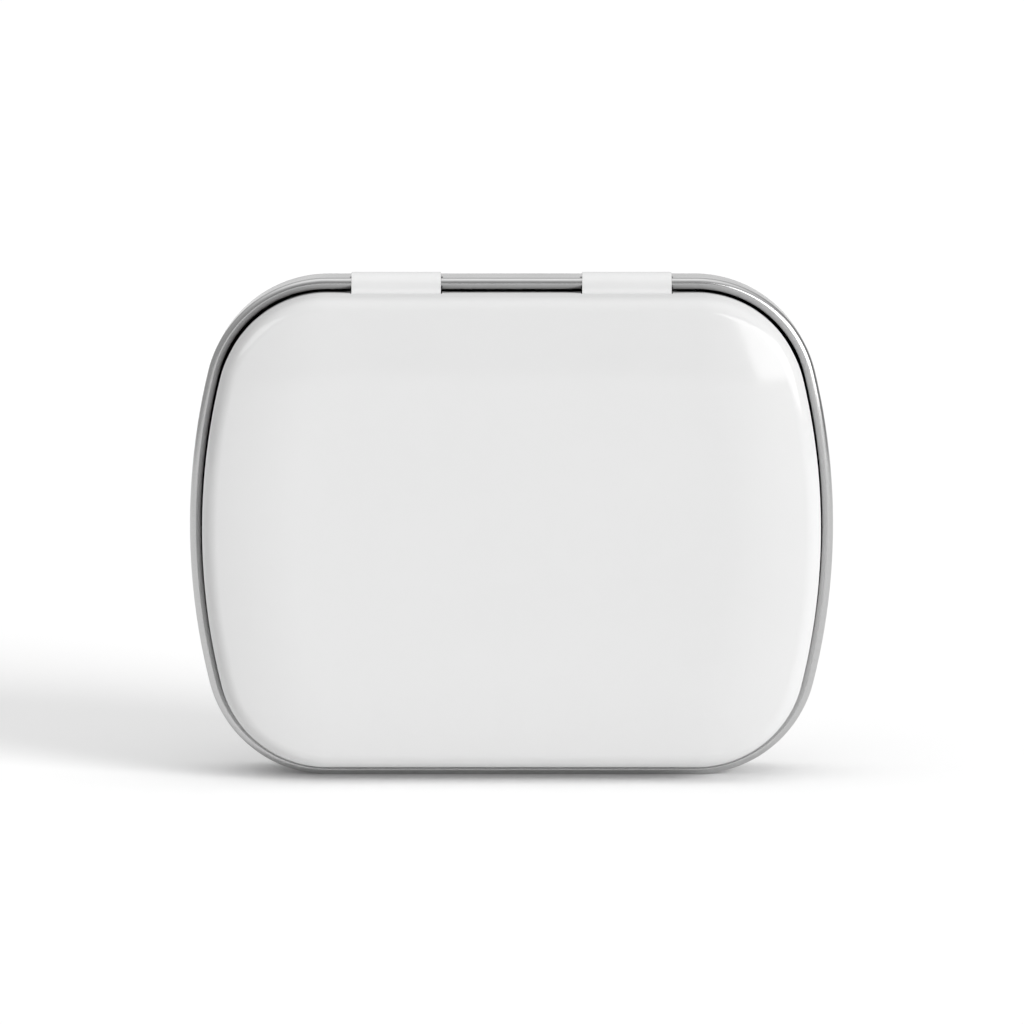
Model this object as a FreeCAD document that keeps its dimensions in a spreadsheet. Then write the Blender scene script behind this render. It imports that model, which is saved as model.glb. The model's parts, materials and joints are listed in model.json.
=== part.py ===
"""Hinged mint tin, standing on its front edge with the lid towards the viewer and the hinge at the top.

The tin is two pressings of tinplate. The base pan is drawn in one piece, and its rim is curled inwards.
The lid is a plug that drops inside that rim. Two tabs of the lid's own sheet are rolled round the rim,
through a pair of windows in the base's back wall, so the rim itself is the hinge pin.

Each piece is modelled lying on its back, with X across the tin, Y from the front wall to the hinge and
Z from the base to the lid. Its placement then stands it up.
"""
import FreeCAD, Part
import Sketcher
import math
import os

# Driving dimensions in millimetres, and three angles in degrees
SIZES = [
    ("rim_width", 60.0, "rim outline, across the tin"),
    ("rim_height", 46.6, "rim outline, from the front wall to the hinge"),
    ("side_radius", 61.0, "bow of the two short sides of the rim outline"),
    ("corner_radius", 11.4, "corners of the rim outline"),
    ("tin_depth", 15.0, "closed tin, from the base's bottom to the lid's face"),
    ("base_sheet", 0.25, "tinplate of the base"),
    ("base_edge_radius", 2.5, "outside of the edge between the base's wall and bottom"),
    ("panel_inset", 5.0, "from the base's wall to the panel pressed into its bottom"),
    ("panel_depth", 0.4, "how far that panel is pressed in"),
    ("panel_slope", 60.0, "lean of the panel's edge away from the depth of the tin"),
    ("panel_radius", 0.6, "outside of both bends along the panel's edge"),
    ("curl_radius", 0.525, "outside of the rolled rim"),
    ("lid_sheet", 0.25, "tinplate of the lid"),
    ("lid_rise", 6.5, "lid's face in front of the rim"),
    ("crown_width", 5.5, "border of the lid's face that leans back"),
    ("crown_slope", 10.0, "lean of that border"),
    ("crown_radius", 28.0, "outside of the bend between the face and its border"),
    ("lid_edge_radius", 2.5, "outside of the edge between the lid's wall and that border"),
    ("lid_gap", 0.31, "between the rim and the lid's wall"),
    ("skirt_depth", 2.3, "lid's wall behind the front of the rim"),
    ("hem_radius", 0.4, "outside of the roll along the lid's edge"),
    ("tab_width", 8.3, "hinge tab, along the rim"),
    ("tab_spacing", 21.4, "between the middles of the two tabs"),
    ("tab_clearance", 0.3, "between a tab and the rim that it is rolled round"),
    ("tab_bend_radius", 0.5, "hollow bend from the lid's wall into a tab"),
    ("tab_wrap", 240.0, "how far a tab is rolled round the rim"),
    ("slit_width", 0.1, "cut beside each tab, in the lid's wall"),
    ("window_side_gap", 0.15, "base's window past each side of its tab"),
    ("window_drop", 1.7, "base's window, down from the middle of the rim's roll"),
    ("cut_overrun", 1.0, "how far cuts run past what they cut"),
]

# Places that both pieces share, worked out from the driving dimensions
BASE_DEPTH = "sizes.tin_depth - sizes.lid_rise"
LID_INSET = "2 * sizes.curl_radius + sizes.lid_gap"
LID_HEIGHT = "sizes.lid_rise + sizes.skirt_depth"
RIM_AXIS_Y = "sizes.rim_height / 2 - sizes.curl_radius"
RIM_AXIS_IN_BASE = f"{BASE_DEPTH} - sizes.curl_radius"
RIM_AXIS_IN_LID = "sizes.skirt_depth - sizes.curl_radius"
TAB_BORE = "sizes.curl_radius + sizes.tab_clearance"

RIGHT_ANGLE = math.pi / 2
ROLL_ANGLE = 3 * RIGHT_ANGLE
SAME_PLACE = 1e-6

# Sketcher's names for the ends and the centre of an edge, and for the sketch's own origin and axes
START, END, CENTRE = range(1, 4)
X_AXIS, Y_AXIS = range(-1, -3, -1)
ORIGIN = (X_AXIS, START)


def make_sheet(doc):
    """Puts each driving dimension in a cell of its own, under its name."""
    sheet = doc.addObject("Spreadsheet::Sheet", "sizes")
    for row, (name, value, note) in enumerate(SIZES, start=1):
        sheet.set(f"A{row}", name)
        sheet.set(f"B{row}", str(value))
        sheet.setAlias(f"B{row}", name)
        sheet.set(f"C{row}", note)
    doc.recompute()
    return sheet


def make_body(doc, name, depth_place):
    """An empty body that stands up, with its own origin at depth_place along the tin's depth."""
    body = doc.addObject("PartDesign::Body", name)
    body.Label = name
    body.Placement = FreeCAD.Placement(FreeCAD.Vector(), FreeCAD.Rotation(FreeCAD.Vector(1, 0, 0), 90))
    body.setExpression("Placement.Base.y", depth_place)
    body.setExpression("Placement.Base.z", "sizes.rim_height / 2")
    return body


def origin_plane(body, role):
    return next(feature for feature in body.Origin.OriginFeatures if feature.Role == role)


def new_sketch(body, name, role, lift=None):
    """A sketch on one of the body's origin planes, lifted off it by an expression."""
    sketch = body.newObject("Sketcher::SketchObject", name)
    sketch.AttachmentSupport = (origin_plane(body, role), "")
    sketch.MapMode = "FlatFace"
    if lift:
        sketch.setExpression("AttachmentOffset.Base.z", lift)
    return sketch


def constrain(sketch, *constraints):
    for kind, *where in constraints:
        sketch.addConstraint(Sketcher.Constraint(kind, *where))


def drive(sketch, name, expression, kind, *where):
    """Adds a dimension to a sketch and binds it to the driving dimensions."""
    index = sketch.addConstraint(Sketcher.Constraint(kind, *where))
    sketch.renameConstraint(index, name)
    sketch.setExpression(f"Constraints.{name}", expression)


def arc(x, y, radius, first, last):
    """An arc about (x, y), counter-clockwise between two angles."""
    circle = Part.Circle(FreeCAD.Vector(x, y, 0), FreeCAD.Vector(0, 0, 1), radius)
    return Part.ArcOfCircle(circle, first, last)


def line(x1, y1, x2, y2):
    return Part.LineSegment(FreeCAD.Vector(x1, y1, 0), FreeCAD.Vector(x2, y2, 0))


def outline_sketch(body, sheet, name, inset, lift=None):
    """The rim's outline, drawn in by inset: straight front and back, bowed sides and round corners."""
    sketch = new_sketch(body, name, "XY_Plane", lift)
    top = sheet.rim_height / 2
    side = sheet.side_radius
    corner = sheet.corner_radius
    side_x = sheet.rim_width / 2 - side
    corner_y = top - corner
    corner_x = side_x + math.sqrt((side - corner) ** 2 - corner_y**2)
    turn = math.atan2(corner_y, corner_x - side_x)
    half_turn = math.pi
    right, top_right, back, top_left, left, low_left, front, low_right = range(8)
    sketch.addGeometry(
        [
            arc(side_x, 0, side, -turn, turn),
            arc(corner_x, corner_y, corner, turn, RIGHT_ANGLE),
            line(corner_x, top, -corner_x, top),
            arc(-corner_x, corner_y, corner, RIGHT_ANGLE, half_turn - turn),
            arc(-side_x, 0, side, half_turn - turn, half_turn + turn),
            arc(-corner_x, -corner_y, corner, half_turn + turn, half_turn + RIGHT_ANGLE),
            line(-corner_x, -top, corner_x, -top),
            arc(corner_x, -corner_y, corner, half_turn + RIGHT_ANGLE, 2 * half_turn - turn),
        ],
        False,
    )
    edges = [right, top_right, back, top_left, left, low_left, front, low_right]
    for edge, following in zip(edges, edges[1:] + edges[:1]):
        constrain(sketch, ("Tangent", edge, END, following, START))
    constrain(
        sketch,
        ("PointOnObject", right, CENTRE, X_AXIS),
        ("Symmetric", right, CENTRE, left, CENTRE, Y_AXIS),
        ("Symmetric", back, START, back, END, Y_AXIS),
        ("Symmetric", back, START, front, END, X_AXIS),
        ("Symmetric", back, END, front, START, X_AXIS),
        ("Equal", right, left),
    )
    drive(sketch, "corner", f"sizes.corner_radius - ({inset})", "Radius", top_right, corner)
    drive(sketch, "side", f"sizes.side_radius - ({inset})", "Radius", right, side)
    drive(sketch, "tall", f"sizes.rim_height - 2 * ({inset})", "DistanceY", front, START, back, END, 2 * top)
    wide = (right, CENTRE, left, CENTRE, -2 * side_x)
    drive(sketch, "wide", "2 * sizes.side_radius - sizes.rim_width", "DistanceX", *wide)
    return sketch


def roll_sketch(body, name, middle_y, middle_z, radius, sheet_name, upwards):
    """Section of a sheet edge rolled inwards by three quarters of a turn, upwards or downwards."""
    sketch = new_sketch(body, name, "YZ_Plane")
    sheet = body.Document.sizes
    outer = sheet.getPropertyByName(radius)
    inner = outer - sheet.getPropertyByName(sheet_name)
    y = sheet.rim_height / 2 - outer
    z = sheet.skirt_depth
    first, last = (0, ROLL_ANGLE) if upwards else (RIGHT_ANGLE, 2 * math.pi)
    wall_end, free_end = (START, END) if upwards else (END, START)
    tip = -1 if upwards else 1
    outside, inside, wall, free = range(4)
    sketch.addGeometry(
        [
            arc(y, z, outer, first, last),
            arc(y, z, inner, first, last),
            line(y + inner, z, y + outer, z),
            line(y, z + tip * inner, y, z + tip * outer),
        ],
        False,
    )
    constrain(
        sketch,
        ("Coincident", outside, CENTRE, inside, CENTRE),
        ("Coincident", wall, START, inside, wall_end),
        ("Coincident", wall, END, outside, wall_end),
        ("Coincident", free, START, inside, free_end),
        ("Coincident", free, END, outside, free_end),
        ("Horizontal", wall),
        ("Vertical", free),
        ("Horizontal", outside, CENTRE, wall, START),
        ("Vertical", outside, CENTRE, free, START),
    )
    drive(sketch, "outer", f"sizes.{radius}", "Radius", outside, outer)
    drive(sketch, "inner", f"sizes.{radius} - sizes.{sheet_name}", "Radius", inside, inner)
    drive(sketch, "middle_y", middle_y, "DistanceX", *ORIGIN, outside, CENTRE, y)
    drive(sketch, "middle_z", middle_z, "DistanceY", *ORIGIN, outside, CENTRE, z)
    return sketch


def opening_sketch(body, sheet, name, place_y, width, bottom, top):
    """A rectangle at the right-hand hinge tab, which faces the back wall from place_y."""
    sketch = new_sketch(body, name, "XZ_Plane", f"-({place_y})")
    low_x = (sheet.tab_spacing - sheet.tab_width) / 2
    high_x = (sheet.tab_spacing + sheet.tab_width) / 2
    high_z = sheet.skirt_depth
    below, right, above, left = range(4)
    sketch.addGeometry(
        [
            line(low_x, 0, high_x, 0),
            line(high_x, 0, high_x, high_z),
            line(high_x, high_z, low_x, high_z),
            line(low_x, high_z, low_x, 0),
        ],
        False,
    )
    edges = [below, right, above, left]
    for edge, following in zip(edges, edges[1:] + edges[:1]):
        constrain(sketch, ("Coincident", edge, END, following, START))
    constrain(sketch, ("Horizontal", below), ("Horizontal", above), ("Vertical", right), ("Vertical", left))
    drive(sketch, "width", width, "DistanceX", below, START, below, END, high_x - low_x)
    reach = f"sizes.tab_spacing / 2 + ({width}) / 2"
    drive(sketch, "reach", reach, "DistanceX", *ORIGIN, below, END, high_x)
    drive(sketch, "top", top, "DistanceY", *ORIGIN, above, START, high_z)
    drive(sketch, "tall", f"({top}) - ({bottom})", "DistanceY", right, START, right, END, high_z)
    return sketch


def tab_sketch(body, sheet):
    """Section of a hinge tab: out of the lid's wall by a hollow bend, flat over the rim, then round it."""
    sketch = new_sketch(body, "tab_section", "YZ_Plane", "sizes.tab_spacing / 2")
    y = sheet.rim_height / 2 - sheet.curl_radius
    z = sheet.skirt_depth - sheet.curl_radius
    inner = sheet.curl_radius + sheet.tab_clearance
    outer = inner + sheet.lid_sheet
    bend = sheet.tab_bend_radius
    bend_y = y - sheet.curl_radius - sheet.lid_gap + bend
    bend_z = z + outer + bend
    outside = bend + sheet.lid_sheet
    tip = RIGHT_ANGLE - math.radians(sheet.tab_wrap)
    tip_y, tip_z = math.cos(tip), math.sin(tip)
    root, front_bend, front_flat, front_roll, edge, rear_roll, rear_flat, rear_bend = range(8)
    sketch.addGeometry(
        [
            line(bend_y - outside, bend_z, bend_y - bend, bend_z),
            arc(bend_y, bend_z, bend, math.pi, ROLL_ANGLE),
            line(bend_y, z + outer, y, z + outer),
            arc(y, z, outer, tip, RIGHT_ANGLE),
            line(y + inner * tip_y, z + inner * tip_z, y + outer * tip_y, z + outer * tip_z),
            arc(y, z, inner, tip, RIGHT_ANGLE),
            line(y, z + inner, bend_y, z + inner),
            arc(bend_y, bend_z, outside, math.pi, ROLL_ANGLE),
        ],
        False,
    )
    constrain(
        sketch,
        ("Tangent", front_bend, END, front_flat, START),
        ("Tangent", front_flat, END, front_roll, END),
        ("Tangent", rear_roll, END, rear_flat, START),
        ("Tangent", rear_flat, END, rear_bend, END),
        ("Coincident", root, START, rear_bend, START),
        ("Coincident", root, END, front_bend, START),
        ("Coincident", edge, START, rear_roll, START),
        ("Coincident", edge, END, front_roll, START),
        ("Coincident", front_roll, CENTRE, rear_roll, CENTRE),
        ("Coincident", front_bend, CENTRE, rear_bend, CENTRE),
        ("Horizontal", root),
        ("Horizontal", front_flat),
        ("Horizontal", rear_flat),
        ("Horizontal", front_bend, CENTRE, root, END),
        ("PointOnObject", front_roll, CENTRE, edge),
    )
    drive(sketch, "bore", TAB_BORE, "Radius", rear_roll, inner)
    drive(sketch, "back", f"{TAB_BORE} + sizes.lid_sheet", "Radius", front_roll, outer)
    drive(sketch, "bend", "sizes.tab_bend_radius", "Radius", front_bend, bend)
    drive(sketch, "axis_y", RIM_AXIS_Y, "DistanceX", *ORIGIN, front_roll, CENTRE, y)
    drive(sketch, "axis_z", RIM_AXIS_IN_LID, "DistanceY", *ORIGIN, front_roll, CENTRE, z)
    wall = f"sizes.rim_height / 2 - ({LID_INSET})"
    drive(sketch, "wall", wall, "DistanceX", *ORIGIN, root, END, bend_y - bend)
    drive(sketch, "wrap", "(90 - sizes.tab_wrap) * 1 deg", "Angle", edge, tip)
    return sketch


def add_feature(body, kind, name, profile, turned=False, **sizes):
    """A sketch-based feature of the body, with its sizes bound to expressions."""
    feature = body.newObject(f"PartDesign::{kind}", name)
    feature.Profile = profile
    feature.Reversed = turned
    for size, expression in sizes.items():
        feature.setExpression(size, expression)
    body.Document.recompute()
    return feature


def add_fillet(body, name, edges, radius):
    before = body.Tip
    feature = body.newObject("PartDesign::Fillet", name)
    feature.Base = (before, edges)
    feature.setExpression("Radius", radius)
    body.Document.recompute()
    return feature


def add_crown(body, name, edges, width, slope):
    """Leans the border of a flat face back, over a width along the face."""
    before = body.Tip
    feature = body.newObject("PartDesign::Chamfer", name)
    feature.Base = (before, edges)
    feature.ChamferType = "Distance and Angle"
    feature.FlipDirection = True
    feature.setExpression("Size", width)
    feature.setExpression("Angle", slope)
    body.Document.recompute()
    return feature


def add_shell(body, name, face, sheet_name):
    """Hollows the body to one sheet thickness, open at the named face."""
    before = body.Tip
    feature = body.newObject("PartDesign::Thickness", name)
    feature.Base = (before, [face])
    feature.Reversed = True
    feature.setExpression("Value", f"sizes.{sheet_name}")
    body.Document.recompute()
    return feature


def add_roll(body, name, section, path):
    feature = body.newObject("PartDesign::AdditivePipe", name)
    feature.Profile = section
    feature.Spine = (path, [])
    body.Document.recompute()
    return feature


def mirror(body, name, *features):
    """Repeats features on the other side of the tin."""
    feature = body.newObject("PartDesign::Mirrored", name)
    feature.Originals = list(features)
    feature.MirrorPlane = (origin_plane(body, "YZ_Plane"), [""])
    body.Tip = feature
    body.Document.recompute()
    return feature


def level_edges(shape, height):
    """Names of the edges that lie flat at one height."""
    names = []
    for number, edge in enumerate(shape.Edges, start=1):
        if all(abs(vertex.Z - height) < SAME_PLACE for vertex in edge.Vertexes):
            names.append(f"Edge{number}")
    return names


def band_edges(shape, low, high):
    """Names of the flat edges along the faces that rise from one height to another."""
    flat = level_edges(shape, low) + level_edges(shape, high)
    names = set()
    for face in shape.Faces:
        heights = [vertex.Z for vertex in face.Vertexes]
        if abs(min(heights) - low) < SAME_PLACE and abs(max(heights) - high) < SAME_PLACE:
            for name in flat:
                if any(edge.isSame(shape.getElement(name)) for edge in face.Edges):
                    names.add(name)
    return sorted(names)


def level_face(shape, height):
    """Name of the flat face at one height."""
    for number, face in enumerate(shape.Faces, start=1):
        if all(abs(vertex.Z - height) < SAME_PLACE for vertex in face.Vertexes):
            return f"Face{number}"
    raise RuntimeError("no flat face at that height")


def make_base(doc, sheet):
    """Drawn pan with a pressed-in bottom panel, a rim curled inwards and two hinge windows."""
    body = make_body(doc, "base_pan", "sizes.tin_depth / 2")
    plan = outline_sketch(body, sheet, "base_plan", "0")
    wall = add_feature(body, "Pad", "base_block", plan, Length=RIM_AXIS_IN_BASE)
    rounded = add_fillet(body, "base_edge", level_edges(wall.Shape, 0), "sizes.base_edge_radius")
    plan = outline_sketch(body, sheet, "panel_plan", "sizes.panel_inset")
    panel = add_feature(
        body, "Pocket", "panel", plan, True, Length="sizes.panel_depth", TaperAngle="-sizes.panel_slope"
    )
    if not panel.Shape.Volume < rounded.Shape.Volume:
        raise RuntimeError("the bottom panel cuts nothing")
    add_fillet(body, "panel_bends", band_edges(panel.Shape, 0, sheet.panel_depth), "sizes.panel_radius")
    solid = body.Tip.Shape
    add_shell(body, "base_shell", level_face(solid, solid.BoundBox.ZMax), "base_sheet")
    middle = (RIM_AXIS_Y, RIM_AXIS_IN_BASE)
    section = roll_sketch(body, "curl_section", *middle, "curl_radius", "base_sheet", True)
    path = outline_sketch(body, sheet, "curl_path", "sizes.curl_radius", RIM_AXIS_IN_BASE)
    add_roll(body, "curl", section, path)
    closed_volume = body.Tip.Shape.Volume
    opening = opening_sketch(
        body,
        sheet,
        "window_shape",
        "(sizes.rim_height - sizes.curl_radius - sizes.base_sheet) / 2",
        "sizes.tab_width + 2 * sizes.window_side_gap",
        f"{RIM_AXIS_IN_BASE} - sizes.window_drop",
        RIM_AXIS_IN_BASE,
    )
    window = add_feature(body, "Pocket", "window", opening, Length="sizes.base_sheet + sizes.cut_overrun")
    if not window.Shape.Volume < closed_volume:
        raise RuntimeError("the hinge window cuts nothing")
    mirror(body, "windows", window)
    return body


def make_lid(doc, sheet):
    """Plug lid with a rolled hem, and two tabs of its own sheet rolled round the base's rim."""
    body = make_body(doc, "hinged_lid", f"{LID_HEIGHT} - sizes.tin_depth / 2")
    plan = outline_sketch(body, sheet, "lid_plan", LID_INSET, "sizes.hem_radius")
    block = add_feature(body, "Pad", "lid_block", plan, Length=f"{LID_HEIGHT} - sizes.hem_radius")
    face_height = block.Shape.BoundBox.ZMax
    face_edges = level_edges(block.Shape, face_height)
    crown = add_crown(body, "crown", face_edges, "sizes.crown_width", "sizes.crown_slope")
    border_height = face_height - sheet.crown_width * math.tan(math.radians(sheet.crown_slope))
    add_fillet(body, "crown_bend", level_edges(crown.Shape, face_height), "sizes.crown_radius")
    add_fillet(body, "lid_edge", level_edges(body.Tip.Shape, border_height), "sizes.lid_edge_radius")
    add_shell(body, "lid_shell", level_face(body.Tip.Shape, sheet.hem_radius), "lid_sheet")
    hem_y = f"sizes.rim_height / 2 - ({LID_INSET}) - sizes.hem_radius"
    section = roll_sketch(body, "hem_section", hem_y, "sizes.hem_radius", "hem_radius", "lid_sheet", False)
    path = outline_sketch(body, sheet, "hem_path", f"{LID_INSET} + sizes.hem_radius", "sizes.hem_radius")
    add_roll(body, "hem", section, path)
    whole_volume = body.Tip.Shape.Volume
    opening = opening_sketch(
        body,
        sheet,
        "relief_shape",
        f"{hem_y} - sizes.hem_radius - sizes.cut_overrun",
        "sizes.tab_width + 2 * sizes.slit_width",
        "-sizes.cut_overrun",
        f"{RIM_AXIS_IN_LID} + {TAB_BORE} + sizes.lid_sheet + sizes.tab_bend_radius",
    )
    relief_reach = "2 * (sizes.hem_radius + sizes.cut_overrun)"
    relief = add_feature(body, "Pocket", "relief", opening, Length=relief_reach)
    if not relief.Shape.Volume < whole_volume:
        raise RuntimeError("the relief beside the hinge tab cuts nothing")
    tab = add_feature(body, "Pad", "tab", tab_sketch(body, sheet), Length="sizes.tab_width")
    tab.SideType = "Symmetric"
    doc.recompute()
    mirror(body, "tabs", relief, tab)
    return body


def check(doc, pieces):
    """Stops if any feature failed or a piece is not one sound solid."""
    for item in doc.Objects:
        if "Invalid" in item.State or "Error" in item.State:
            raise RuntimeError(f"{item.Name} did not build: {item.State}")
    for piece in pieces:
        shape = piece.Shape
        if shape.isNull() or not shape.isValid() or len(shape.Solids) != 1:
            raise RuntimeError(f"{piece.Label} is not one sound solid")


doc = FreeCAD.newDocument("mint_tin")
sheet = make_sheet(doc)
pieces = [make_base(doc, sheet), make_lid(doc, sheet)]
doc.recompute()
check(doc, pieces)
os.makedirs("parts", exist_ok=True)
for piece in pieces:
    piece.Shape.exportStep(f"parts/{piece.Label}.step")
    print(f"{piece.Label}: {piece.Shape.Volume:.1f} cubic mm of tinplate")
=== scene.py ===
"""Looks of a hinged mint tin: bright tinplate base, white lacquered lid, white studio.

Each pressing is one sheet of tinplate, so each mesh is made as a sheet is: a strip, bent as its section
shows, is carried round the outline of the tin. Windows and slits stay open, and hinge tabs are added.
"""
import json
import math
from collections import Counter, namedtuple

import bmesh
import bpy
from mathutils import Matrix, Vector


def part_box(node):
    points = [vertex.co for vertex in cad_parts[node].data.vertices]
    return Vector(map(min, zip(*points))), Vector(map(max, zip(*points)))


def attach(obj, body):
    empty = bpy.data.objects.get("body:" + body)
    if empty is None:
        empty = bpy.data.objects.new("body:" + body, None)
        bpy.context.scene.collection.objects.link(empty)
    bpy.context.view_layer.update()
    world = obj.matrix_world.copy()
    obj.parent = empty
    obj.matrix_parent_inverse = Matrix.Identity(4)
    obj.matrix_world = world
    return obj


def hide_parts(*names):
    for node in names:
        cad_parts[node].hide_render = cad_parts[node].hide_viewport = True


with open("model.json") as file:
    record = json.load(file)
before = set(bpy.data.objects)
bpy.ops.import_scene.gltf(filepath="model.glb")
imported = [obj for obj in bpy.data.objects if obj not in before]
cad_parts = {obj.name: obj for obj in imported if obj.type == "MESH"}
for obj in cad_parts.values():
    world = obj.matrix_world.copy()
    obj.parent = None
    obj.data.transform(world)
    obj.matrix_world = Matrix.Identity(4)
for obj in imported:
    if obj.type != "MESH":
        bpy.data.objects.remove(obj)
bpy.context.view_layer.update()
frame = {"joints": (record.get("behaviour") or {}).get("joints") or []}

Station = namedtuple("Station", "x z facing_x facing_z radius")
Point = namedtuple("Point", "out depth facing_out facing_depth travelled")
Key = namedtuple("Key", "group column row")
Glow = namedtuple("Glow", "axis sign narrowing brightness")
Softbox = namedtuple("Softbox", "left right low high roll radiance")

MM = 0.001
QUARTER_TURN = math.pi / 2
HALF_TURN = math.pi

# Sizes of the tin, in metres, and angles, in radians
RIM_WIDTH = 60.0 * MM
RIM_HEIGHT = 46.6 * MM
SIDE_RADIUS = 61.0 * MM
CORNER_RADIUS = 11.4 * MM
SHEET = 0.25 * MM
BASE_EDGE_RADIUS = 2.5 * MM
PANEL_INSET = 5.0 * MM
PANEL_DEPTH = 0.4 * MM
PANEL_RISE = math.radians(30)
PANEL_RADIUS = 0.6 * MM
CURL_RADIUS = 0.525 * MM
LID_GAP = 0.31 * MM
LID_EDGE_RADIUS = 1.8 * MM
CROWN_WIDTH = 5.5 * MM
CROWN_SLOPE = math.radians(10)
CROWN_RADIUS = 28.0 * MM
HEM_RADIUS = 0.4 * MM
ROLL_TURN = 3 * QUARTER_TURN
TAB_WIDTH = 8.3 * MM
TAB_SPACING = 21.4 * MM
TAB_CLEARANCE = 0.3 * MM
TAB_BEND_RADIUS = 0.5 * MM
TAB_WRAP = math.radians(240)
SLIT_WIDTH = 0.1 * MM
WINDOW_SIDE_GAP = 0.15 * MM
WINDOW_DROP = 1.7 * MM
CUT_EDGE_ROUNDING = 0.05 * MM

# Places along the tin's depth, which is Y, and up it, which is Z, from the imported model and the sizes
MIDDLE_Z = RIM_HEIGHT / 2
BOTTOM_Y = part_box("base_pan")[1].y
LID_FACE_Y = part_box("hinged_lid")[0].y
HEM_END_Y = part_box("hinged_lid")[1].y
HINGE_Y = frame["joints"][0]["pos_m"][1]
LID_INSET = 2 * CURL_RADIUS + LID_GAP
TAB_BACK_RADIUS = CURL_RADIUS + TAB_CLEARANCE + SHEET
TAB_ROOT_Y = HINGE_Y - TAB_BACK_RADIUS - TAB_BEND_RADIUS
CROWN_DROP = CROWN_WIDTH * math.tan(CROWN_SLOPE)
LID_EDGE_TURN = QUARTER_TURN - CROWN_SLOPE
LID_EDGE_EASE = LID_EDGE_RADIUS * math.tan(LID_EDGE_TURN / 2)
LID_WALL_Y = LID_FACE_Y + CROWN_DROP + LID_EDGE_EASE

# How finely the meshes follow the shapes, and where the rings that close their flat middles lie
BEND_STEP = math.radians(7)
CORNER_STEP = math.radians(2.5)
PLACE_STEP = 1.3 * MM
SECTION_START_INSET = 9.6 * MM
RING_SHARES = (0.8, 0.6, 0.4, 0.2)
CUT_EDGE_SEGMENTS = 2
SHARP_ANGLE = math.radians(45)

# Numbers of the materials of a pressing: those of its outer skin, its inner skin and its cut edges
OUTER, INNER, CUT = range(3)

# Sockets of a Mix node that mixes colours, and the range that most of a noise lies in
MIX_SHARE, MIX_FIRST, MIX_SECOND = 0, 6, 7
MIX_RESULT = 2
NOISE_LOW = 0.3
NOISE_HIGH = 0.7

# Patterns of the finishes: how often they repeat in a metre, and the depths and strengths of their bumps
ROLLING_LINES = (400, 1, 9000)
TIN_CLOUDS = 180
TIN_CLOUD_SHARE = 0.5
TIN_WAVES = 55
TIN_WAVE_DEPTH = 0.05 * MM
TIN_WAVE_STRENGTH = 0.15
LACQUER_CLOUDS = 90
ORANGE_PEEL = 1100
ORANGE_PEEL_DEPTH = 0.02 * MM
ORANGE_PEEL_STRENGTH = 0.03
CUT_MARKS = 9000

# Tones and roughness of the finishes, each as a range
BARE_TIN_TONES = (0.49, 0.54)
BARE_TIN_ROUGHNESS = (0.17, 0.23)
INNER_TIN_TONES = (0.44, 0.5)
INNER_TIN_ROUGHNESS = (0.25, 0.31)
CLEAR_LACQUER_TONES = (0.612, 0.618)
# The lid's side wall gets lighter tones than its face: painted light, for the light that falls on the wall
PAINTED_LIGHT_WALL_TONES = (0.67, 0.68)
LACQUER_ROUGHNESS = (0.4, 0.46)
COAT_ROUGHNESS = 0.11
CUT_TONES = (0.3, 0.46)
CUT_ROUGHNESS = (0.35, 0.5)

# The floor, in metres, with its tone, its roughness and its own glow
FLOOR_REACH = 20.0
FLOOR_TONE = 0.95
FLOOR_ROUGHNESS = 0.9
FLOOR_GLOW = 0.05

# The sky: its brightness all round, and the glows that are added to it
SKY_ALL_ROUND = 0.15
SKY_GLOWS = {
    "above": Glow("Z", 1, narrowing=4, brightness=1.34),
    "front": Glow("Y", -1, narrowing=2, brightness=0.2),
    "left": Glow("X", -1, narrowing=1, brightness=0.35),
    "right": Glow("X", 1, narrowing=1, brightness=0.15),
    "low_back": Glow("Y", 1, narrowing=4, brightness=0.65),
}

# The lamps: their distance in metres, and their azimuths, elevations, spread and roll in degrees
LAMP_DISTANCE = 0.6
KEY_AZIMUTH = 49
KEY_ELEVATION = 18
KEY_SPREAD = 28
KEY_POWER = 2.6
STUDIO_WINDOW = Softbox(left=15, right=70, low=4, high=36, roll=5, radiance=3.8)
CARD = Softbox(left=-64, right=-34, low=20, high=46, roll=0, radiance=2.2)

# The camera: its distance in metres, its elevation in degrees, and its lens and sensor in millimetres
CAMERA_DISTANCE = 0.6
CAMERA_ELEVATION = 6.34
CAMERA_LENS = 226.2
CAMERA_SENSOR = 36
AIM_RIGHT_OF_MIDDLE = 0.045 * MM
AIM_ABOVE_MIDDLE = 1.41 * MM


def split(start, end, step):
    """Evenly spaced values from start up to, but without, end."""
    count = max(1, math.ceil(abs(end - start) / step))
    return [start + (end - start) * number / count for number in range(count)]


def back_marks():
    """Places along the straight back where a window, slit or tab starts or ends."""
    halves = [TAB_WIDTH / 2, TAB_WIDTH / 2 + SLIT_WIDTH, TAB_WIDTH / 2 + WINDOW_SIDE_GAP]
    right = [TAB_SPACING / 2 + sign * half for half in halves for sign in (-1, 1)]
    return sorted(right + [-place for place in right])


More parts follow.
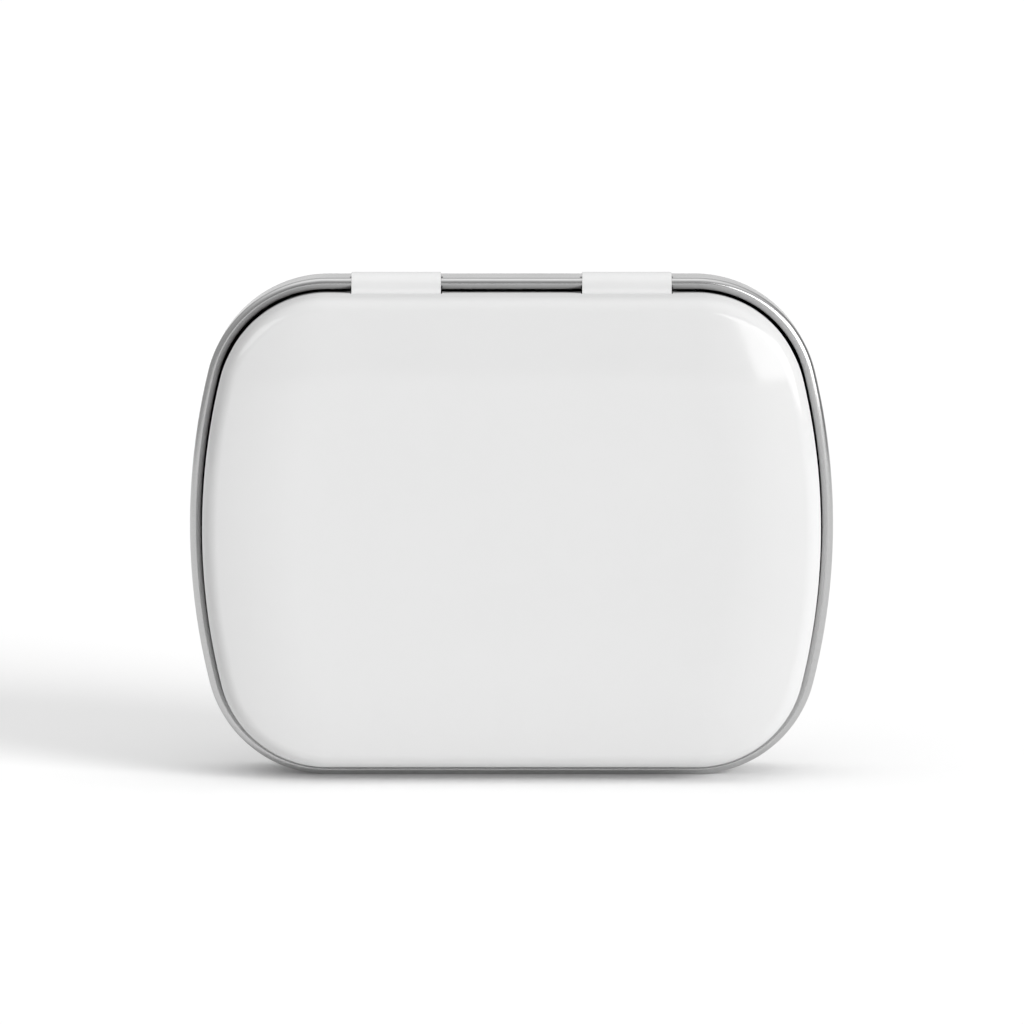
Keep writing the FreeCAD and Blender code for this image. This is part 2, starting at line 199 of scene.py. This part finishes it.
def make_stations():
    """Places round the rim's outline, anticlockwise seen from the front, from the right side on."""
    top = RIM_HEIGHT / 2
    side_x = RIM_WIDTH / 2 - SIDE_RADIUS
    corner_z = top - CORNER_RADIUS
    corner_x = side_x + math.sqrt((SIDE_RADIUS - CORNER_RADIUS) ** 2 - corner_z**2)
    turn = math.atan2(corner_z, corner_x - side_x)
    stations = []

    def add_arc(x, z, radius, first, last, step):
        for angle in split(first, last, step):
            stations.append(Station(x, z, math.cos(angle), math.sin(angle), radius))

    add_arc(side_x, 0, SIDE_RADIUS, -turn, turn, PLACE_STEP / SIDE_RADIUS)
    add_arc(corner_x, corner_z, CORNER_RADIUS, turn, QUARTER_TURN, CORNER_STEP)
    marks = [corner_x, *reversed(back_marks()), -corner_x]
    for start, end in zip(marks, marks[1:]):
        for x in split(start, end, PLACE_STEP):
            stations.append(Station(x, 0, 0, 1, top))
    add_arc(-corner_x, corner_z, CORNER_RADIUS, QUARTER_TURN, HALF_TURN - turn, CORNER_STEP)
    # The rest of the outline is the same again, turned round by half a turn
    return stations + [Station(-at.x, -at.z, -at.facing_x, -at.facing_z, at.radius) for at in stations]


def walk(out, depth, heading, outside, steps, travelled=0):
    """Follows the outer side of a bent sheet, seen end-on.

    heading is an angle: 0 leads outwards, and a quarter turn leads towards the base's bottom. The outer
    side faces a quarter turn on from heading if outside is 1, and a quarter turn back if it is -1. A step
    is (length, 0) for a straight stretch or (radius, turn) for a bend. Returns the points, and the row at
    which each named step ends.
    """
    points = []
    ends = {}

    def note():
        facing = heading + outside * QUARTER_TURN
        points.append(Point(out, depth, math.cos(facing), math.sin(facing), travelled))

    note()
    for name, (size, turn) in steps.items():
        extent, step = (abs(turn), BEND_STEP) if turn else (size, PLACE_STEP)
        count = max(1, math.ceil(extent / step))
        part = turn / count
        stride = 2 * size * math.sin(abs(part) / 2) if turn else size / count
        for _ in range(count):
            out += stride * math.cos(heading + part / 2)
            depth += stride * math.sin(heading + part / 2)
            heading += part
            travelled += stride
            note()
        ends[name] = len(points) - 1
    return points, ends


def add_object(name, data):
    """An object in the scene for a mesh, a light or a camera."""
    thing = bpy.data.objects.new(name, data)
    bpy.context.scene.collection.objects.link(thing)
    return thing


class Pressing:
    """One sheet: its outer and inner skins, and the cut edges between them."""

    def __init__(self, stations):
        self.stations = stations
        self.places = {}
        self.cells = []

    def following(self, column):
        """The next column round the outline."""
        return (column + 1) % len(self.stations)

    def place(self, column, out, depth):
        """The place at a column that is so far out from the rim's outline, and so deep."""
        at = self.stations[column]
        reach = at.radius + out
        return Vector((at.x + reach * at.facing_x, depth, MIDDLE_Z + at.z + reach * at.facing_z))

    def add_points(self, group, points, columns):
        """Puts a section's points at each column: on the outer skin, the inner skin and the flat blank."""
        for column in columns:
            for row, point in enumerate(points):
                inner_out = point.out - SHEET * point.facing_out
                inner_depth = point.depth - SHEET * point.facing_depth
                self.places[Key(group, column, row)] = (
                    self.place(column, point.out, point.depth),
                    self.place(column, inner_out, inner_depth),
                    self.place(column, point.travelled - SECTION_START_INSET, 0),
                )

    def add_band(self, group, columns, rows, left_open=()):
        """Quads between neighbouring columns and rows, apart from the cells that are left open."""
        for column in columns:
            following = self.following(column)
            for row in rows:
                if (column, row) not in left_open:
                    corners = [(column, row), (column, row + 1), (following, row + 1), (following, row)]
                    self.cells.append([Key(group, *corner) for corner in corners])

    def add_section(self, points, left_open):
        """Carries a section all round the outline."""
        everywhere = range(len(self.stations))
        self.add_points("section", points, everywhere)
        self.add_band("section", everywhere, range(len(points) - 1), left_open)

    def add_tab(self, points, columns):
        """Adds a strip of the same sheet, as wide as some columns."""
        self.add_points("tab", points, [*columns, self.following(columns[-1])])
        self.add_band("tab", columns, range(len(points) - 1))

    def join_tabs(self, root_row):
        """Makes the first row of each tab the section's row that it grows out of."""

        def rooted(key):
            is_root = key.group == "tab" and key.row == 0
            return Key("section", key.column, root_row) if is_root else key

        self.cells = [[rooted(key) for key in cell] for cell in self.cells]

    def add_middle(self):
        """Closes the flat middle of the section with shrinking rings and a fan."""
        columns = range(len(self.stations))

        def shrunk(column, share):
            return tuple(
                Vector((place.x * share, place.y, MIDDLE_Z + (place.z - MIDDLE_Z) * share))
                for place in self.places[Key("section", column, 0)]
            )

        for ring, share in enumerate(RING_SHARES):
            for column in columns:
                self.places[Key("ring", column, ring)] = shrunk(column, share)
        centre = Key("centre", 0, 0)
        self.places[centre] = shrunk(0, 0)
        for column in columns:
            following = self.following(column)
            outer = [Key("section", column, 0), Key("section", following, 0)]
            for ring in range(len(RING_SHARES)):
                inner = [Key("ring", column, ring), Key("ring", following, ring)]
                self.cells.append([outer[0], outer[1], inner[1], inner[0]])
                outer = inner
            self.cells.append([outer[0], outer[1], centre])

    def make_mesh(self, name):
        """A closed mesh of the sheet, whose vertices hold their places in the flat blank too."""
        shape = bmesh.new()
        blank_layer = shape.verts.layers.float_vector.new("blank")
        skins = {}
        for key, (outer, inner, blank) in self.places.items():
            skins[key] = (shape.verts.new(outer), shape.verts.new(inner))
            for vertex in skins[key]:
                vertex[blank_layer] = blank
        sides = Counter()
        for cell in self.cells:
            for skin in (OUTER, INNER):
                face = shape.faces.new([skins[key][skin] for key in cell])
                face.material_index = skin
            for pair in zip(cell, cell[1:] + cell[:1]):
                sides[tuple(sorted(pair))] += 1
        for pair, uses in sides.items():
            if uses == 1:
                first, second = (skins[key] for key in pair)
                face = shape.faces.new([first[OUTER], second[OUTER], second[INNER], first[INNER]])
                face.material_index = CUT
        loose = [vertex for vertex in shape.verts if not vertex.link_faces]
        bmesh.ops.delete(shape, geom=loose, context="VERTS")
        bmesh.ops.recalc_face_normals(shape, faces=shape.faces)
        for face in shape.faces:
            face.smooth = True
        mesh = bpy.data.meshes.new(name)
        shape.to_mesh(mesh)
        shape.free()
        return mesh

    def make_object(self, name, materials):
        """The sheet as an object, with its cut edges rounded."""
        piece = add_object(name, self.make_mesh(name))
        for material in materials:
            piece.data.materials.append(material)
        rounding = piece.modifiers.new("rounded_cuts", "BEVEL")
        rounding.width = CUT_EDGE_ROUNDING
        rounding.segments = CUT_EDGE_SEGMENTS
        rounding.limit_method = "ANGLE"
        rounding.angle_limit = SHARP_ANGLE
        rounding.harden_normals = True
        return piece


def columns_between(stations, low, high):
    """Columns of the straight back whose quads lie between two places across the tin."""
    found = []
    for column, at in enumerate(stations):
        following = stations[(column + 1) % len(stations)]
        if at.facing_z == 1 and at.facing_x == 0:
            middle = (at.x + following.x) / 2
            if low < middle < high:
                found.append(column)
    return found


def hinge_columns(stations, half_width):
    """For each hinge tab, the columns within half_width of its middle."""
    middles = (-TAB_SPACING / 2, TAB_SPACING / 2)
    return [columns_between(stations, middle - half_width, middle + half_width) for middle in middles]


def hinge_openings(stations, half_width, rows):
    """Cells of the back wall that are left open at the hinge tabs."""
    columns = sum(hinge_columns(stations, half_width), [])
    return {(column, row) for column in columns for row in rows}


def make_base(stations, materials):
    """The drawn pan, from the panel in its bottom out to the rolled rim."""
    slope = PANEL_DEPTH / math.sin(PANEL_RISE)
    ease = PANEL_RADIUS * math.tan(PANEL_RISE / 2)
    panel_edge = PANEL_INSET + PANEL_DEPTH / math.tan(PANEL_RISE)
    window_y = HINGE_Y + WINDOW_DROP
    steps = {
        "panel": (SECTION_START_INSET - panel_edge - ease, 0),
        "panel_bend": (PANEL_RADIUS, PANEL_RISE),
        "panel_slope": (slope - 2 * ease, 0),
        "border_bend": (PANEL_RADIUS, -PANEL_RISE),
        "border": (PANEL_INSET - ease - BASE_EDGE_RADIUS, 0),
        "edge": (BASE_EDGE_RADIUS, -QUARTER_TURN),
        "wall_up_to_windows": (BOTTOM_Y - BASE_EDGE_RADIUS - window_y, 0),
        "wall_with_windows": (WINDOW_DROP, 0),
        "rim": (CURL_RADIUS, -ROLL_TURN),
    }
    points, ends = walk(
        out=-SECTION_START_INSET, depth=BOTTOM_Y - PANEL_DEPTH, heading=0, outside=1, steps=steps
    )
    window_rows = range(ends["wall_up_to_windows"], ends["wall_with_windows"])
    pressing = Pressing(stations)
    pressing.add_section(points, hinge_openings(stations, TAB_WIDTH / 2 + WINDOW_SIDE_GAP, window_rows))
    pressing.add_middle()
    return pressing.make_object("tinplate_base", materials)


def make_lid(stations, materials):
    """The plug lid, from its face out to the rolled hem, with the two hinge tabs."""
    ease = CROWN_RADIUS * math.tan(CROWN_SLOPE / 2)
    slope = CROWN_WIDTH / math.cos(CROWN_SLOPE) - ease - LID_EDGE_EASE
    hem_y = HEM_END_Y - HEM_RADIUS
    steps = {
        "face": (SECTION_START_INSET - LID_INSET - CROWN_WIDTH - ease, 0),
        "crown_bend": (CROWN_RADIUS, CROWN_SLOPE),
        "crown": (slope, 0),
        "edge": (LID_EDGE_RADIUS, LID_EDGE_TURN),
        "wall_up_to_tabs": (TAB_ROOT_Y - LID_WALL_Y, 0),
        "wall_beside_tabs": (hem_y - TAB_ROOT_Y, 0),
        "hem": (HEM_RADIUS, ROLL_TURN),
    }
    points, ends = walk(out=-SECTION_START_INSET, depth=LID_FACE_Y, heading=0, outside=-1, steps=steps)
    root_row = ends["wall_up_to_tabs"]
    root = points[root_row]
    tab_steps = {
        "bend": (TAB_BEND_RADIUS, -QUARTER_TURN),
        "bridge": (LID_INSET - TAB_BEND_RADIUS - CURL_RADIUS, 0),
        "roll": (TAB_BACK_RADIUS, TAB_WRAP),
    }
    tab_points, _ = walk(root.out, root.depth, QUARTER_TURN, -1, tab_steps, root.travelled)
    free_rows = range(root_row, len(points) - 1)
    pressing = Pressing(stations)
    pressing.add_section(points, hinge_openings(stations, TAB_WIDTH / 2 + SLIT_WIDTH, free_rows))
    for columns in hinge_columns(stations, TAB_WIDTH / 2):
        pressing.add_tab(tab_points, columns)
    pressing.join_tabs(root_row)
    pressing.add_middle()
    return pressing.make_object("lacquered_lid", materials)


def grey(value):
    return (value, value, value, 1)


class Nodes:
    """Adds shader nodes to a material or the world and joins them."""

    def __init__(self, owner, shader="Principled BSDF"):
        owner.use_nodes = True
        self.tree = owner.node_tree
        self.shader = self.tree.nodes[shader]

    def add(self, kind, inputs=(), **settings):
        node = self.tree.nodes.new(f"ShaderNode{kind}")
        for name, value in settings.items():
            setattr(node, name, value)
        for name, value in dict(inputs).items():
            self.feed(node.inputs[name], value)
        return node

    def feed(self, socket, value):
        if isinstance(value, bpy.types.NodeSocket):
            self.tree.links.new(value, socket)
        else:
            socket.default_value = value

    def compute(self, operation, *values):
        node = self.add("Math", operation=operation)
        for socket, value in zip(node.inputs, values):
            self.feed(socket, value)
        return node.outputs["Value"]

    def blank(self):
        """The place of each point in the flat blank."""
        return self.add("Attribute", attribute_name="blank").outputs["Vector"]

    def parts(self, source):
        return self.add("SeparateXYZ", {"Vector": source}).outputs

    def stretched(self, source, stretch):
        return self.add("Mapping", {"Vector": source, "Scale": stretch}).outputs["Vector"]

    def noise(self, source, scale, detail, roughness=0.5):
        inputs = {"Vector": source, "Scale": scale, "Detail": detail, "Roughness": roughness}
        return self.add("TexNoise", inputs).outputs["Fac"]

    def ranged(self, source, low, high, from_low=NOISE_LOW, from_high=NOISE_HIGH):
        inputs = {
            "Value": source,
            "From Min": from_low,
            "From Max": from_high,
            "To Min": low,
            "To Max": high,
        }
        return self.add("MapRange", inputs).outputs["Result"]

    def mixed(self, share, first, second):
        node = self.add("Mix", data_type="RGBA")
        for index, value in ((MIX_SHARE, share), (MIX_FIRST, first), (MIX_SECOND, second)):
            self.feed(node.inputs[index], value)
        return node.outputs[MIX_RESULT]

    def toned(self, noise, tones):
        """A grey that changes with a noise, from the first of two tones to the second."""
        first, second = tones
        return self.mixed(self.ranged(noise, 0, 1), grey(first), grey(second))

    def bump(self, height, strength, distance):
        inputs = {"Height": height, "Strength": strength, "Distance": distance}
        return self.add("Bump", inputs).outputs["Normal"]

    def finish(self, **values):
        for name, value in values.items():
            self.feed(self.shader.inputs[name.replace("_", " ")], value)


def make_tinplate(name, tones, roughness):
    """Bright tinplate: fine rolling lines along the blank, soft clouds in the tin, and a faint wave."""
    material = bpy.data.materials.new(name)
    nodes = Nodes(material)
    blank = nodes.blank()
    grain = nodes.noise(nodes.stretched(blank, ROLLING_LINES), scale=1, detail=4, roughness=0.6)
    clouds = nodes.noise(blank, TIN_CLOUDS, detail=3)
    wave = nodes.noise(blank, TIN_WAVES, detail=1)
    clouded = nodes.ranged(clouds, 0, TIN_CLOUD_SHARE)
    nodes.finish(
        Base_Color=nodes.mixed(clouded, nodes.toned(grain, tones), grey(sum(tones) / 2)),
        Metallic=1,
        Roughness=nodes.ranged(clouds, *roughness),
        Normal=nodes.bump(wave, TIN_WAVE_STRENGTH, TIN_WAVE_DEPTH),
    )
    return material


def make_lacquer(name):
    """White stoved lacquer: glossy, with a faint orange peel; dull on the drawn wall, which has painted
    light.
    """
    material = bpy.data.materials.new(name)
    nodes = Nodes(material)
    blank = nodes.blank()
    clouds = nodes.noise(blank, LACQUER_CLOUDS, detail=3)
    peel = nodes.noise(blank, ORANGE_PEEL, detail=2)
    depth = nodes.parts(nodes.add("TexCoord").outputs["Object"])["Y"]
    gloss = nodes.ranged(depth, 1, 0, from_low=LID_WALL_Y - LID_EDGE_RADIUS / 2, from_high=LID_WALL_Y)
    clear = nodes.toned(clouds, CLEAR_LACQUER_TONES)
    # Where gloss is 0, on the side wall, the lacquer is painted a lighter tone: painted light, beside the
    # real dulling
    painted_light_wall = nodes.toned(clouds, PAINTED_LIGHT_WALL_TONES)
    relief = nodes.compute("MULTIPLY", peel, gloss)
    nodes.finish(
        Base_Color=nodes.mixed(gloss, painted_light_wall, clear),
        Roughness=nodes.ranged(clouds, *LACQUER_ROUGHNESS),
        Specular_IOR_Level=0,
        Coat_Weight=gloss,
        Coat_Roughness=COAT_ROUGHNESS,
        Normal=nodes.bump(relief, ORANGE_PEEL_STRENGTH, ORANGE_PEEL_DEPTH),
    )
    return material


def make_cut_steel(name):
    """The sheared edge of the sheet: dull steel with fine, uneven marks."""
    material = bpy.data.materials.new(name)
    nodes = Nodes(material)
    marks = nodes.noise(nodes.blank(), CUT_MARKS, detail=2)
    nodes.finish(
        Base_Color=nodes.toned(marks, CUT_TONES),
        Metallic=1,
        Roughness=nodes.ranged(marks, *CUT_ROUGHNESS),
    )
    return material


def aim(thing, target):
    thing.rotation_euler = (target - thing.location).to_track_quat("-Z", "Y").to_euler()


def direction(azimuth, elevation):
    """The way that leads azimuth degrees to the right of the camera's side, and elevation degrees up."""
    turn = math.radians(azimuth)
    rise = math.radians(elevation)
    return Vector((math.sin(turn) * math.cos(rise), -math.cos(turn) * math.cos(rise), math.sin(rise)))


def add_lamp(name, kind, azimuth, elevation, power):
    """A lamp that looks at the tin."""
    lamp = add_object(name, bpy.data.lights.new(name, kind))
    lamp.data.energy = power
    target = Vector((0, 0, MIDDLE_Z))
    lamp.location = target + direction(azimuth, elevation) * LAMP_DISTANCE
    aim(lamp, target)
    return lamp


def add_softbox(name, box):
    """A rectangle of light that shows in the gloss, over a range of azimuths and elevations."""
    spans = (math.radians(box.right - box.left), math.radians(box.high - box.low))
    width, height = (2 * LAMP_DISTANCE * math.tan(span / 2) for span in spans)
    power = box.radiance * math.pi * width * height
    lamp = add_lamp(name, "AREA", (box.left + box.right) / 2, (box.low + box.high) / 2, power)
    lamp.rotation_euler.rotate_axis("Z", math.radians(box.roll))
    lamp.visible_diffuse = False
    lamp.data.shape = "RECTANGLE"
    lamp.data.size = width
    lamp.data.size_y = height
    return lamp


def make_floor():
    """A wide white light table, which fills the picture behind the tin and glows a little."""
    mesh = bpy.data.meshes.new("floor")
    corners = [(-1, -1), (1, -1), (1, 1), (-1, 1)]
    mesh.from_pydata([(x * FLOOR_REACH, y * FLOOR_REACH, 0) for x, y in corners], [], [(0, 1, 2, 3)])
    floor = add_object("floor", mesh)
    paint = bpy.data.materials.new("floor_paint")
    nodes = Nodes(paint)
    nodes.finish(
        Base_Color=grey(FLOOR_TONE),
        Roughness=FLOOR_ROUGHNESS,
        Specular_IOR_Level=0,
        Emission_Color=grey(1),
        Emission_Strength=FLOOR_GLOW,
    )
    mesh.materials.append(paint)


def make_sky():
    """Soft surroundings, brightest overhead and low behind, with a little more in front and beside."""
    world = bpy.data.worlds.new("studio")
    bpy.context.scene.world = world
    nodes = Nodes(world, "Background")
    parts = nodes.parts(nodes.add("TexCoord").outputs["Generated"])
    brightness = SKY_ALL_ROUND
    for glow in SKY_GLOWS.values():
        towards = nodes.compute("MAXIMUM", nodes.compute("MULTIPLY", parts[glow.axis], glow.sign), 0)
        share = nodes.compute("POWER", towards, glow.narrowing)
        brightness = nodes.compute("MULTIPLY_ADD", share, glow.brightness, brightness)
    nodes.finish(Color=grey(1), Strength=brightness)


def make_light(lid):
    """A broad key light from the right, a wide window, and a small card that only the lid shows."""
    make_sky()
    key_light = add_lamp("key", "SUN", KEY_AZIMUTH, KEY_ELEVATION, KEY_POWER)
    key_light.data.angle = math.radians(KEY_SPREAD)
    key_light.visible_glossy = False
    add_softbox("window", STUDIO_WINDOW)
    card = add_softbox("card", CARD)
    lit_by_card = bpy.data.collections.new("lit_by_card")
    lit_by_card.objects.link(lid)
    card.light_linking.receiver_collection = lit_by_card


def make_camera():
    """A long lens, a little above the middle of the tin."""
    target = Vector((AIM_RIGHT_OF_MIDDLE, HINGE_Y, MIDDLE_Z + AIM_ABOVE_MIDDLE))
    camera = add_object("camera", bpy.data.cameras.new("camera"))
    camera.data.sensor_width = CAMERA_SENSOR
    camera.data.lens = CAMERA_LENS
    camera.location = target + direction(0, CAMERA_ELEVATION) * CAMERA_DISTANCE
    aim(camera, target)
    bpy.context.scene.camera = camera


bpy.context.scene.view_settings.view_transform = "Standard"
stations = make_stations()
bare_tin = make_tinplate("bare_tin", BARE_TIN_TONES, BARE_TIN_ROUGHNESS)
inner_tin = make_tinplate("inner_tin", INNER_TIN_TONES, INNER_TIN_ROUGHNESS)
cut_steel = make_cut_steel("cut_steel")
lacquer = make_lacquer("white_lacquer_coat")

base = make_base(stations, [bare_tin, inner_tin, cut_steel])
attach(base, "base")
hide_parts("base_pan")

lid = make_lid(stations, [lacquer, inner_tin, cut_steel])
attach(lid, "lid")
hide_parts("hinged_lid")

make_floor()
make_light(lid)
make_camera()
